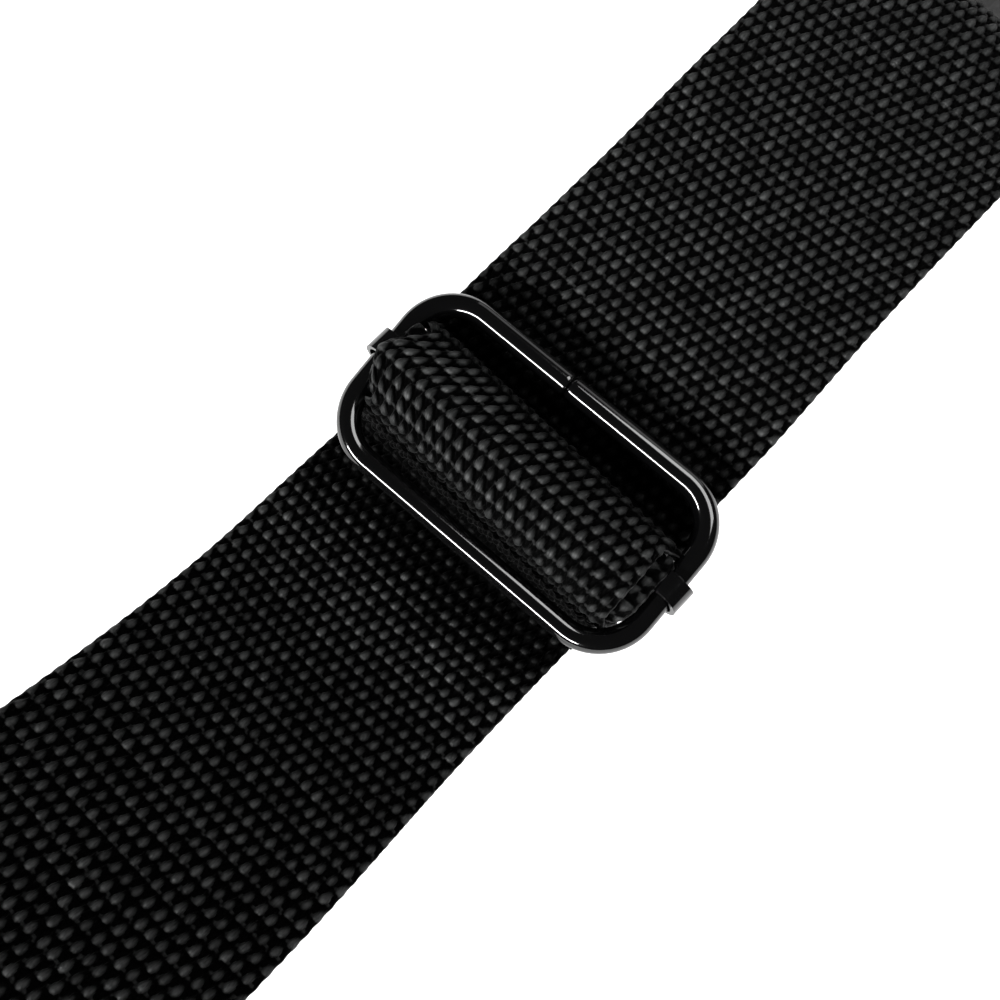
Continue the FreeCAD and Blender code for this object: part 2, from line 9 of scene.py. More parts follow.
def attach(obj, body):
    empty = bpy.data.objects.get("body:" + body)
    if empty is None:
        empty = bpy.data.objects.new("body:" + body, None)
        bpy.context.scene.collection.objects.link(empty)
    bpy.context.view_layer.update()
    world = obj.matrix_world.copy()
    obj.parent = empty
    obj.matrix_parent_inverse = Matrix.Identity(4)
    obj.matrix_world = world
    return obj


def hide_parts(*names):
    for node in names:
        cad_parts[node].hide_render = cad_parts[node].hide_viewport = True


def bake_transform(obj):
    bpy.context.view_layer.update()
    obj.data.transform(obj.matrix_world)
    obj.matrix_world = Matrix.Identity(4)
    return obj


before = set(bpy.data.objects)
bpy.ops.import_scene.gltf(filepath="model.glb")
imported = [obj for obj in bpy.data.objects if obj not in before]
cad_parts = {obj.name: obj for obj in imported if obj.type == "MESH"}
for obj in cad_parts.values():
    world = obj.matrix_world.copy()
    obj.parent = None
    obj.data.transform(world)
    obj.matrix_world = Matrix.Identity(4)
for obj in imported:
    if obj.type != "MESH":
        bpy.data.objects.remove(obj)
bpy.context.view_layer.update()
rng = np.random.default_rng(11)
MM = 0.001

# ---- sizes of the strap, in millimetres, in the CAD frame ----

WIDTH = 49.5
THICK = 1.6
STEP = 1.9  # between the middles of two layers that lie together
WIRE = 1.85  # radius
LEVEL = 27.0  # of the slide's wire
SLIDE_X, SLIDE_Y, SLIDE_R = 13.85, 27.05, 7.9  # the wire's centre line and its corners
ASIDE, TURN, TILT = -1.7, 3.6, 5.5  # how the loop hangs, in millimetres and degrees
BENT = 0.9  # how far one corner of the wire is bent in
ENDS = 48  # warp yarns across the webbing
YARN = WIDTH / ENDS
PICK = 2.2  # along the webbing, from one weft yarn to the next
ROWS = 700  # rows of weave that have their own jitter

# the weave's relief: where a yarn's top lies, how far it rises and sinks over that, and how far
# its rounded sides fall, over a zero level that lies FACE under the webbing's face
GROUND = -0.2  # between the yarns
WARP_LEVEL, WARP_RISE, WARP_ROUND = 0.24, 0.40, 0.62
WEFT_LEVEL, WEFT_RISE, WEFT_ROUND = 0.10, 0.24, 0.35
WEFT_HALF = 0.34  # half the width of a weft yarn where it shows
FACE = 0.45
RIM = 1.3  # how far in from the edge the selvedge's rounding reaches

BAR_X, BAR_WIDTH, BAR_LENGTH, BAR_LEVEL = 0.45, 6.5, 36.0, 0.8  # the movable bar's flat strip
BAR_HALF = 0.38  # half its thickness
CURL_ASIDE = 1.25  # each curl lies this far to its own side of the bar's middle
CURL_REACH, CURL_FLARE, CURL_TURN = 2.62, 1.9, 235  # radius, half width and degrees


def upper_level(x):
    return 23.8 + (x - 14.0) * 6.1 / 97.0


def valley_height(x):
    return 11.6 + (-8.6 - x) * 2.8 / 26.4


SHOULDER = [(138, 2.0, 0), (110.5, 2.0, 40), (94, 0.8, 40), (-95.5, 0.8, 3.5), (-95.5, 7.8, 3.5),
            (111, 7.8, 10.6), (111, 29.9, 10.6), (88, upper_level(88), 0)]
RUN = [(88, upper_level(88), 0), (14.4, upper_level(14.4), 0)]
ROLL = [(14.4, upper_level(14.4), 0), (6.3, upper_level(6.3), 2.5), (6.3, 30.7, 4.2),
        (-1.2, 33.4, 12), (-8.6, 30.7, 4.2), (-8.6, 11.6, 2.5), (-12.7, valley_height(-12.7), 0)]
HUMP = [(-12.7, valley_height(-12.7), 0), (-35, 14.4, 60), (-129, 60.5, 34), (-200, 2.7, 30),
        (-220, 2.7, 20), (-230, 6.7, 20), (-240, 6.7, 0)]
BIGHT = [(-240, 6.7, 0), (-252.95, 6.7, 2.95), (-252.95, 0.8, 2.95), (-240, 0.8, 0)]
SEWN = [(-17, valley_height(-17) - STEP, 0), (-6.7, valley_height(-6.7) - STEP, 4.4),
        (-6.7, 29.3, 3.4), (4.35, 29.3, 1.2), (4.35, 26.3, 1.2), (-4.8, 26.3, 1.2),
        (-4.8, 13.5, 0)]
TAB_LOOP = [(-309.7, 2.0, 0), (-282.7, 2.0, 12), (-275.7, 0.8, 12), (-264.75, 0.8, 2.95),
            (-264.75, 6.7, 2.95), (-273.7, 6.7, 5), (-282.7, 3.9, 5), (-309.7, 3.9, 0)]


# ---- webbing: a strip with its plain weave in the mesh ----


class Track:
    """Straight runs and arcs through (x, z, radius) points."""

    def __init__(self, points):
        flat = [np.array([x, z], float) for x, z, _ in points]
        self.parts = []
        self.length = 0.0
        last = flat[0]
        for before, corner, after, (_, _, radius) in zip(flat, flat[1:], flat[2:], points[1:]):
            into = (corner - before) / np.linalg.norm(corner - before)
            out = (after - corner) / np.linalg.norm(after - corner)
            side = into[0] * out[1] - into[1] * out[0]
            turn = math.acos(max(-1.0, min(1.0, float(into @ out))))
            reach = radius * math.tan(turn / 2)
            self.straight(last, corner - into * reach)
            centre = corner - into * reach + np.array([-into[1], into[0]]) * math.copysign(
                radius, side)
            self.parts.append((self.length, turn * radius, corner - into * reach, into, centre,
                               math.copysign(turn, side)))
            self.length += turn * radius
            last = corner + out * reach
        self.straight(last, flat[-1])

    def straight(self, start, end):
        span = float(np.linalg.norm(end - start))
        if span > 1e-6:
            self.parts.append((self.length, span, start, (end - start) / span, None, 0.0))
            self.length += span

    def at(self, s):
        """Places and headings at distances s along the track."""
        place = np.zeros((len(s), 2))
        heading = np.zeros((len(s), 2))
        for begin, span, start, way, centre, turn in self.parts:
            inside = (s >= begin - 1e-9) if begin else np.ones(len(s), bool)
            run = s[inside] - begin
            if centre is None:
                place[inside] = start + run[:, None] * way
                heading[inside] = way
                continue
            angle = turn * np.clip(run / span, 0, 1)
            cos, sin = np.cos(angle), np.sin(angle)
            arm = start - centre
            place[inside] = centre + np.stack([arm[0] * cos - arm[1] * sin,
                                               arm[0] * sin + arm[1] * cos], 1)
            heading[inside] = np.stack([way[0] * cos - way[1] * sin,
                                        way[0] * sin + way[1] * cos], 1)
        return place, heading


JITTER_SIDE = rng.normal(0, 0.09, (ENDS + 4, ROWS))
JITTER_UP = rng.normal(0, 0.05, (ENDS + 4, ROWS))
JITTER_TONE = rng.uniform(0.55, 1.1, (ENDS + 4, ROWS))
JITTER_PICK = np.cumsum(rng.normal(0, 0.05, ROWS))
JITTER_PICK -= np.linspace(0, JITTER_PICK[-1], ROWS)
JITTER_PICK = np.clip(JITTER_PICK, -0.35, 0.35)


def weave(u, s, face):
    """The weave's height at (u, s) over its zero level, in millimetres, and its tone with painted
    light and shade, from 0 in the gaps towards 1 on a bright float: painted shade darkens the
    gaps between the yarns and painted light lightens one end of each float. face is 0 for the
    front, 1 for the back."""
    pick = s / PICK
    row = np.floor(pick).astype(int)
    share = pick - row
    climb = row + share ** 1.35  # a float climbs slowly and drops steeply
    height = np.full(np.broadcast(u, s).shape, GROUND)
    yarn_tone_and_painted_light = np.zeros_like(height)
    column = np.floor(u / YARN + ENDS / 2).astype(int)
    for step in (-1, 0, 1):
        end = np.clip(column + step, 0, ENDS - 1)
        skew = (share - 0.5) * np.where((end + row) % 2 == 0, 0.3, -0.3)
        middle = (end + 0.5 - ENDS / 2) * YARN + JITTER_SIDE[end, row % ROWS] + skew
        phase = np.cos(math.pi * (climb - 0.5) + math.pi * ((end + face) % 2))
        lift = np.sign(phase) * np.abs(phase) ** 0.75
        spread = 0.30 + 0.28 * np.clip(phase, 0, 1) + 0.28 * share
        across = np.abs(u - middle) / spread
        dome = np.sqrt(np.clip(1 - across ** 2, 0, 1))
        top = WARP_LEVEL + WARP_RISE * lift + WARP_ROUND * (dome - 1) + JITTER_UP[end, row % ROWS]
        top = np.where(across < 1, top, -1)
        # painted light: each float is lighter towards one end, times its random tone
        tone_and_painted_light = JITTER_TONE[end, row % ROWS] * (0.08 + 0.92 * share ** 1.3)
        yarn_tone_and_painted_light = np.where(top > height, tone_and_painted_light, yarn_tone_and_painted_light)
        height = np.maximum(height, top)
    for step in (-1, 0, 1):
        line = row + step
        aside = 0.25 - 0.5 * (line % 2)
        parity = np.cos(math.pi * (u / YARN + ENDS / 2 - 0.5 + aside)
                        + math.pi * ((line + face) % 2))
        along = np.abs(s - (line + 0.8) * PICK) / WEFT_HALF
        dome = np.sqrt(np.clip(1 - along ** 2, 0, 1))
        top = WEFT_LEVEL - WEFT_RISE * parity + WEFT_ROUND * (dome - 1)
        top = np.where(along < 1, top, -1)
        yarn_tone_and_painted_light = np.where(top > height, 0.6, yarn_tone_and_painted_light)
        height = np.maximum(height, top)
    # painted shade: the colour darkens with depth, into the gaps between the yarns
    weave_tone_and_painted_light = np.clip((height + 0.12) / 0.72, 0, 1) * (0.25 + 0.75 * yarn_tone_and_painted_light)
    return height, weave_tone_and_painted_light


def webbing(name, points, start, fine, width=None, lean=None, sag=None, shade=None):
    """A closed strip along points. start is how far along the whole webbing it begins, and
    fine how many rows there are to a millimetre: one number, or a list of (length, number).
    width, lean and shade are functions of the distance along the strip, and sag of that and
    of the place across it, from -1 to 1."""
    track = Track(points)
    if not isinstance(fine, list):
        fine = [(track.length, fine)]
    stops, begin = [], 0.0
    for span, rate in fine:
        span = min(span, track.length - begin)
        count = max(2, int(span * rate))
        stops.append(begin + span * np.arange(count) / count)
        begin += span
    s = np.append(np.concatenate(stops), track.length)
    best = max(rate for _, rate in fine)
    front = np.linspace(-1, 1, ENDS * (6 if best > 3 else 4) + 1)
    back = np.linspace(1, -1, ENDS * 2 + 1)
    place, heading = track.at(s)
    outward = np.stack([heading[:, 1], -heading[:, 0]], 1)
    across_width = np.full(len(s), WIDTH) if width is None else width(s)
    moved = np.zeros(len(s)) if lean is None else lean(s)
    whole = start + s + JITTER_PICK[np.clip(((start + s) / PICK).astype(int), 0, ROWS - 1)] * 0.5
    loops_y, loops_h, weave_tones_and_painted_light, us = [], [], [], []
    for face, span in ((0, front), (1, back)):
        u = span[None, :] * WIDTH / 2
        bow = 0.5 * (span[None, :] ** 2)  # the weft lags a little at the edges
        height, weave_tone_and_painted_light = weave(u, whole[:, None] + bow, face)
        rim = np.clip((np.abs(u) - (WIDTH / 2 - RIM)) / RIM, 0, 1)
        rounded = np.sqrt(np.clip(1 - rim ** 2, 0, 1))
        height = (THICK / 2 - FACE + height) * rounded
        # the edge swells where a weft yarn turns back
        beat = 0.12 * rim * np.cos(math.pi * (whole[:, None] / PICK - 0.5)) ** 2
        side = span[None, :] * (across_width[:, None] / 2) + np.sign(u) * (beat - 0.1 * rim)
        loops_y.append(side + moved[:, None])
        loops_h.append(height if face == 0 else -height)
        weave_tones_and_painted_light.append(weave_tone_and_painted_light)
        us.append(np.broadcast_to(u, height.shape))
    y, h = np.concatenate(loops_y, 1), np.concatenate(loops_h, 1)
    weave_tone_and_painted_light, us = np.concatenate(weave_tones_and_painted_light, 1), np.concatenate(us, 1)
    # painted shade: shade(s) darkens the cloth's colour along the strip, in place of shadow
    if shade is not None:
        weave_tone_and_painted_light = weave_tone_and_painted_light * shade(s)[:, None]
    if sag is not None:
        h = h + sag(s[:, None], us / (WIDTH / 2))
    wave = 0.25 * np.sin(whole / 23.0 + 1.0) + 0.18 * np.sin(whole / 9.7)
    ease = np.clip(np.minimum(s, track.length - s) / 15, 0, 1)
    y = y + (wave * ease)[:, None]
    x = place[:, 0][:, None] + outward[:, 0][:, None] * h
    z = place[:, 1][:, None] + outward[:, 1][:, None] * h
    rows, columns = y.shape
    vertices = np.stack([x, y, z], 2).reshape(-1, 3) * MM
    index = np.arange(rows * columns).reshape(rows, columns)
    after = np.roll(index, -1, 1)
    quads = np.stack([index[:-1], index[1:], after[1:], after[:-1]], 2).reshape(-1, 4)
    mesh = bpy.data.meshes.new(name)
    mesh.vertices.add(len(vertices))
    mesh.vertices.foreach_set("co", vertices.ravel())
    mesh.loops.add(len(quads) * 4 + 2 * columns)
    ring = np.concatenate([quads.ravel(), index[0], index[-1][::-1]])
    mesh.loops.foreach_set("vertex_index", ring)
    mesh.polygons.add(len(quads) + 2)  # with a flat cap on each end
    begins = np.append(np.arange(len(quads)) * 4, [len(quads) * 4, len(quads) * 4 + columns])
    mesh.polygons.foreach_set("loop_start", begins)
    mesh.polygons.foreach_set("use_smooth", np.append(np.ones(len(quads), bool), [False] * 2))
    mesh.update(calc_edges=True)
    layer = mesh.uv_layers.new(name="cloth")
    flat = np.stack([us.ravel(), np.repeat(whole, columns)], 1) / 10
    layer.data.foreach_set("uv", flat[ring].ravel())
    tone_and_painted_light = mesh.attributes.new("weave_tone_and_painted_light", "FLOAT", "POINT")
    tone_and_painted_light.data.foreach_set("value", weave_tone_and_painted_light.ravel().astype(np.float32))
    mesh.validate()
    obj = bpy.data.objects.new(name, mesh)
    bpy.context.scene.collection.objects.link(obj)
    print(name, f"{track.length:.1f} mm", rows, columns)
    return obj, track.length


# ---- materials ----


def material(name):
    made = bpy.data.materials.new(name)
    made.use_nodes = True
    tree = made.node_tree
    shader = tree.nodes["Principled BSDF"]
    return made, tree, shader


def node(tree, kind, **settings):
    made = tree.nodes.new(kind)
    for key, value in settings.items():
        setattr(made, key, value)
    return made


def mapped_noise(tree, source, scale, stretch, detail=3.0):
    """Noise over the given coordinate, stretched."""
    mapping = node(tree, "ShaderNodeMapping")
    mapping.inputs["Scale"].default_value = stretch
    tree.links.new(source, mapping.inputs["Vector"])
    noise = node(tree, "ShaderNodeTexNoise")
    noise.inputs["Scale"].default_value = scale
    noise.inputs["Detail"].default_value = detail
    tree.links.new(mapping.outputs["Vector"], noise.inputs["Vector"])
    return noise


def ramp(tree, source, low, high, places=(0.0, 1.0)):
    """A colour ramp between two grey or colour values."""
    made = node(tree, "ShaderNodeValToRGB")
    for element, place, colour in zip(made.color_ramp.elements, places, (low, high)):
        element.position = place
        element.color = (*colour, 1) if hasattr(colour, "__len__") else (colour,) * 3 + (1,)
    tree.links.new(source, made.inputs["Fac"])
    return made


def webbing_material():
    made, tree, shader = material("webbing")
    cloth = node(tree, "ShaderNodeUVMap", uv_map="cloth")
    fibres = mapped_noise(tree, cloth.outputs["UV"], 34.0, (1.4, 0.3, 1))
    worn = mapped_noise(tree, cloth.outputs["UV"], 1.3, (1, 1, 1))
    # the weave's tone with painted light and shade: the colour darkens in the gaps between the
    # yarns and towards one end of each float, and the specular weakens with it
    weave_tone_and_painted_light = node(tree, "ShaderNodeAttribute", attribute_name="weave_tone_and_painted_light")
    tint = ramp(tree, fibres.outputs["Fac"], (0.0035, 0.004, 0.004), (0.022, 0.024, 0.0235),
                (0.3, 0.7))
    shade = ramp(tree, worn.outputs["Fac"], 0.8, 1.0, (0.3, 0.7))
    tone_and_painted_light_ramp = ramp(tree, weave_tone_and_painted_light.outputs["Fac"], 0.02, 1.0, (0.24, 0.8))
    dimmed = node(tree, "ShaderNodeMix", data_type="RGBA", blend_type="MULTIPLY")
    dimmed.inputs["Factor"].default_value = 1
    tree.links.new(shade.outputs["Color"], dimmed.inputs["A"])
    tree.links.new(tone_and_painted_light_ramp.outputs["Color"], dimmed.inputs["B"])
    mixed = node(tree, "ShaderNodeMix", data_type="RGBA", blend_type="MULTIPLY")
    mixed.inputs["Factor"].default_value = 1
    tree.links.new(tint.outputs["Color"], mixed.inputs["A"])
    tree.links.new(dimmed.outputs["Result"], mixed.inputs["B"])
    tree.links.new(mixed.outputs["Result"], shader.inputs["Base Color"])
    gloss = ramp(tree, fibres.outputs["Fac"], 0.7, 0.4, (0.3, 0.7))
    tree.links.new(gloss.outputs["Color"], shader.inputs["Roughness"])
    shine = node(tree, "ShaderNodeMath", operation="MULTIPLY")
    shine.inputs[1].default_value = 0.55
    tree.links.new(tone_and_painted_light_ramp.outputs["Color"], shine.inputs[0])
    tree.links.new(shine.outputs["Value"], shader.inputs["Specular IOR Level"])
    shader.inputs["Sheen Weight"].default_value = 0.05
    shader.inputs["Sheen Roughness"].default_value = 0.4
    bump = node(tree, "ShaderNodeBump")
    bump.inputs["Strength"].default_value = 0.7
    bump.inputs["Distance"].default_value = 0.0003
    tree.links.new(fibres.outputs["Fac"], bump.inputs["Height"])
    tree.links.new(bump.outputs["Normal"], shader.inputs["Normal"])
    return made


def paint_material():
    made, tree, shader = material("gloss_black")
    spot = node(tree, "ShaderNodeTexCoord")
    peel = mapped_noise(tree, spot.outputs["Object"], 900.0, (1, 1, 1))
    rough = ramp(tree, peel.outputs["Fac"], 0.08, 0.13)
    tree.links.new(rough.outputs["Color"], shader.inputs["Roughness"])
    shader.inputs["Base Color"].default_value = (0.0012, 0.0012, 0.0013, 1)
    shader.inputs["Specular IOR Level"].default_value = 0.6
    shader.inputs["Coat Weight"].default_value = 0.6
    shader.inputs["Coat Roughness"].default_value = 0.03
    bump = node(tree, "ShaderNodeBump")
    bump.inputs["Strength"].default_value = 0.03
    bump.inputs["Distance"].default_value = 0.0002
    tree.links.new(peel.outputs["Fac"], bump.inputs["Height"])
    tree.links.new(bump.outputs["Normal"], shader.inputs["Normal"])
    return made


def leather_material():
    made, tree, shader = material("leather")
    spot = node(tree, "ShaderNodeTexCoord")
    grain = node(tree, "ShaderNodeTexVoronoi")
    grain.inputs["Scale"].default_value = 900.0
    tree.links.new(spot.outputs["Object"], grain.inputs["Vector"])
    worn = mapped_noise(tree, spot.outputs["Object"], 60.0, (1, 1, 1), 5.0)
    tint = ramp(tree, worn.outputs["Fac"], (0.006, 0.0055, 0.0055), (0.016, 0.015, 0.0145),
                (0.3, 0.8))
    shader.inputs["Specular IOR Level"].default_value = 0.35
    tree.links.new(tint.outputs["Color"], shader.inputs["Base Color"])
    rough = ramp(tree, worn.outputs["Fac"], 0.42, 0.62, (0.3, 0.8))
    tree.links.new(rough.outputs["Color"], shader.inputs["Roughness"])
    bump = node(tree, "ShaderNodeBump")
    bump.inputs["Strength"].default_value = 0.35
    bump.inputs["Distance"].default_value = 0.0002
    tree.links.new(grain.outputs["Distance"], bump.inputs["Height"])
    tree.links.new(bump.outputs["Normal"], shader.inputs["Normal"])
    return made


def thread_material():
    made, tree, shader = material("thread")
    spot = node(tree, "ShaderNodeTexCoord")
    twist = node(tree, "ShaderNodeTexWave")
    twist.inputs["Scale"].default_value = 700.0
    twist.inputs["Distortion"].default_value = 1.0
    tree.links.new(spot.outputs["Object"], twist.inputs["Vector"])
    tint = ramp(tree, twist.outputs["Fac"], (0.016, 0.016, 0.016), (0.04, 0.04, 0.041))
    tree.links.new(tint.outputs["Color"], shader.inputs["Base Color"])
    shader.inputs["Roughness"].default_value = 0.5
    shader.inputs["Sheen Weight"].default_value = 0.1
    bump = node(tree, "ShaderNodeBump")
    bump.inputs["Strength"].default_value = 0.4
    bump.inputs["Distance"].default_value = 0.0001
    tree.links.new(twist.outputs["Fac"], bump.inputs["Height"])
    tree.links.new(bump.outputs["Normal"], shader.inputs["Normal"])
    return made


CLOTH = webbing_material()
PAINT = paint_material()
LEATHER = leather_material()
THREAD = thread_material()


def finished(obj, made, slot_name, body, *nodes):
    """Gives a piece its material and its body, and hides the CAD nodes that it replaces; slot_name
    is not used.
    """
    obj.data.materials.clear()
    obj.data.materials.append(made)
    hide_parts(*nodes)
    if body:
        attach(obj, body)


# ---- the webbing's stretches ----

run_on = 0.0


def stretch(node_name, points, body, fine, held, **shape):
    """One named stretch of the webbing, which begins where the last one ended."""
    global run_on
    obj, length = webbing(node_name + "_woven", points, run_on, fine, **shape)
    run_on += length
    finished(obj, CLOTH, "webbing", body, node_name)
    return obj


def eased(*stops):
    """A width, lean or shade that eases from each (distance, value) stop to the next."""
    places, values = np.array(stops, float).T

    def along(s):
        index = np.clip(np.searchsorted(places, s, "right") - 1, 0, len(places) - 2)
        share = np.clip((s - places[index]) / (places[index + 1] - places[index]), 0, 1)
        share = share * share * (3 - 2 * share)
        return values[index] + (values[index + 1] - values[index]) * share

    return along


# the slide's corners squeeze the webbing on its way up and down, and it spreads over the bar
run_width = eased((0, WIDTH), (30, WIDTH), (74, 50.9))
run_lean = eased((0, 0), (45, 0), (74, -0.4))
roll_width = eased((0, 50.9), (2, 51.8), (11, 51.8), (15, 46.4), (22.3, 50.2), (29.9, 46.4),
                   (34, 51.0), (42, 52.4), (49, 51.6), (54, 50.9))
roll_lean = eased((0, -0.4), (2, -1.1), (7.4, -1.2), (14.6, -1.8), (22.3, 0.0), (29.9, -2.0),
                  (38, 0.6), (49, 0.6), (54, 0.6))
# the cloth is darker inside the slide and beside it, in place of the deep shadow there
run_shade = eased((0, 1), (62, 1), (74, 0.7))
roll_shade = eased((0, 0.7), (12, 0.6), (17, 1), (30, 1), (35, 0.5), (54, 0.45))
hump_shade = eased((0, 0.45), (18, 1), (400, 1))
hump_width = eased((0, 50.9), (45, WIDTH), (400, WIDTH))
hump_lean = eased((0, 0.6), (45, 0), (400, 0))


def roll_sag(s, u):
    """Its edges droop where it crosses the bar."""
    return -1.0 * np.exp(-((s - 22.3) / 9.0) ** 2) * np.abs(u) ** 8


stretch("shoulder_webbing", SHOULDER, "strap", [(425.0, 1.9), (100.0, 3.4)], "folded")
run = stretch("shoulder_run", RUN, None, 3.6, "laid", width=run_width, lean=run_lean,
              shade=run_shade)
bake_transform(run)
stretch("slide_webbing", ROLL, "slide", 4.2, "folded", width=roll_width, lean=roll_lean,
        sag=roll_sag, shade=roll_shade)
hump = stretch("adjusting_webbing", HUMP, None, [(160.0, 3.5), (100.0, 2.2)], "laid",
               width=hump_width, lean=hump_lean, shade=hump_shade)
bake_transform(hump)
stretch("ring_bight_webbing", BIGHT, "ring_bight", 2.4, "folded")

back_track = [(-240, 0.8, 0), (-199.34, 0.8, 31.9), (-129.06, 58.08, 32.1), (-35.43, 12.54, 58.1),
              (-17, valley_height(-17) - STEP, 0)]
back_run = stretch("return_webbing", back_track, None, 2.0, "laid")
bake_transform(back_run)
stretch("sewn_end_webbing", SEWN, "slide", 2.8, "folded",
        width=eased((0, 48.5), (9, 48.5), (19, 51.8), (24, 50.5), (29, 52.2), (37, 52.2),
                    (42, 48), (60, 48)),
        lean=eased((0, 0.2), (8, 0.2), (18, ASIDE), (60, ASIDE)))
run_on = 1300.0  # the tab's loop is a webbing of its own, with another stretch of the weave
stretch("tab_b_loop_webbing", TAB_LOOP, "tab_b", 2.2, "folded")


# ---- bent wires ----


def tube(name, path, radii, sides):
    """A round tube with flat ends along path, with a radius at each point, in millimetres."""
    path = np.array(path, float)
    ahead = np.gradient(path, axis=0)
    ahead /= np.linalg.norm(ahead, axis=1)[:, None]
    up = np.array([0, 0, 1.0])
    side = np.cross(ahead, up)
    side /= np.linalg.norm(side, axis=1)[:, None]
    top = np.cross(side, ahead)
    angles = np.linspace(0, 2 * math.pi, sides, endpoint=False)
    ring = (side[:, None, :] * np.cos(angles)[None, :, None]
            + top[:, None, :] * np.sin(angles)[None, :, None])
    vertices = (path[:, None, :] + ring * radii[:, None, None]).reshape(-1, 3) * MM
    faces = []
    count = len(path)
    for row in range(count - 1):
        for column in range(sides):
            beyond = (column + 1) % sides
            faces.append((row * sides + column, row * sides + beyond,
                          (row + 1) * sides + beyond, (row + 1) * sides + column))
    faces.append(tuple(range(sides - 1, -1, -1)))
    faces.append(tuple((count - 1) * sides + column for column in range(sides)))
    mesh = bpy.data.meshes.new(name)
    mesh.from_pydata([tuple(v) for v in vertices], [], faces)
    mesh.update()
    for face in mesh.polygons:
        face.use_smooth = len(face.vertices) == 4
    obj = bpy.data.objects.new(name, mesh)
    bpy.context.scene.collection.objects.link(obj)
    return obj


def rounded_rectangle(half_x, half_y, corner, middle_x, level, butt, joint=0.0):
    """The centre line of a wire rectangle, from one side of its butt joint to the other."""
    points = []
    for y in np.linspace(joint + butt / 2, half_y - corner, 40, endpoint=False):
        points.append((half_x, y))
    corners = ((half_x - corner, half_y - corner, 0), (corner - half_x, half_y - corner, 90),
               (corner - half_x, corner - half_y, 180), (half_x - corner, corner - half_y, 270))
    for index, (x, y, first) in enumerate(corners):
        for angle in np.radians(np.linspace(first, first + 90, 25)):
            points.append((x + corner * math.cos(angle), y + corner * math.sin(angle)))
        if index < 3:
            next_x, next_y, _ = corners[index + 1]
            turn = math.radians(first + 90)
            start = np.array([x + corner * math.cos(turn), y + corner * math.sin(turn)])
            end = np.array([next_x + corner * math.cos(turn), next_y + corner * math.sin(turn)])
            for share in np.linspace(0, 1, 30, endpoint=False)[1:]:
                points.append(tuple(start + (end - start) * share))
    for y in np.linspace(corner - half_y, joint - butt / 2, 41)[1:]:
        points.append((half_x, y))
    return [(x + middle_x, y, level) for x, y in points]


def wire_radii(count, taper):
    """The wire's radius, a little less at its two cut ends."""
    near = np.minimum(np.arange(count), np.arange(count)[::-1])
    return WIRE - taper * np.clip(1 - near, 0, 1)


askew = (Matrix.Translation((0, ASIDE * MM, LEVEL * MM))
         @ Matrix.Rotation(math.radians(TURN), 4, "Z")
         @ Matrix.Rotation(-math.radians(TILT), 4, "Y"))
loop_path = rounded_rectangle(SLIDE_X, SLIDE_Y, SLIDE_R, 0, 0, 0.18, 2.7)
loop_path = [(x, y - BENT * max(0.0, min(1.0, y / 20)) ** 3 * (SLIDE_X - x) / (2 * SLIDE_X), z)
             for x, y, z in loop_path]  # one corner is bent in a little
loop_wire = tube("slide_wire", loop_path, wire_radii(len(loop_path), 0.22), 40)
loop_wire.data.transform(askew)
finished(loop_wire, PAINT, "wire", "loop", "wire_loop")
ring_path = rounded_rectangle(8.85, 27.25, 2.9, -258.85, 3.75, 0.18)
ring_wire = tube("ring_wire", ring_path, wire_radii(len(ring_path), 0.2), 32)
finished(ring_wire, PAINT, "wire", "ring", "end_ring")


# ---- pieces that keep their CAD outline, with softened edges ----


def rounded_edges(obj, bevel, angle):
    """Rounds a mesh's edges that are sharper than angle, by bevel in millimetres."""
    rounding = obj.modifiers.new("rounding", "BEVEL")
    rounding.width = bevel * MM
    rounding.segments = 3
    rounding.limit_method = "ANGLE"
    rounding.angle_limit = math.radians(angle)
    rounding.harden_normals = True
    bpy.ops.object.modifier_apply(modifier="rounding")


def softened(node_name):
    """A copy of a CAD node's mesh with rounded edges."""
    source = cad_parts[node_name]
    obj = bpy.data.objects.new(node_name + "_finished", source.data.copy())
    bpy.context.scene.collection.objects.link(obj)
    bpy.context.view_layer.objects.active = obj
    for other in bpy.context.selected_objects:
        other.select_set(False)
    obj.select_set(True)
    bpy.ops.object.mode_set(mode="EDIT")
    bpy.ops.mesh.select_all(action="SELECT")
    bpy.ops.mesh.remove_doubles(threshold=0.00001)
    bpy.ops.mesh.tris_convert_to_quads()
    bpy.ops.object.mode_set(mode="OBJECT")
    rounded_edges(obj, 0.35, 35)
    return obj


for tab, body in (("tab_a", "strap"), ("tab_b", "tab_b")):
    for side in ("front", "back"):
        node_name = f"{tab}_{side}_leather"
        finished(softened(node_name), LEATHER, "leather", body, node_name)


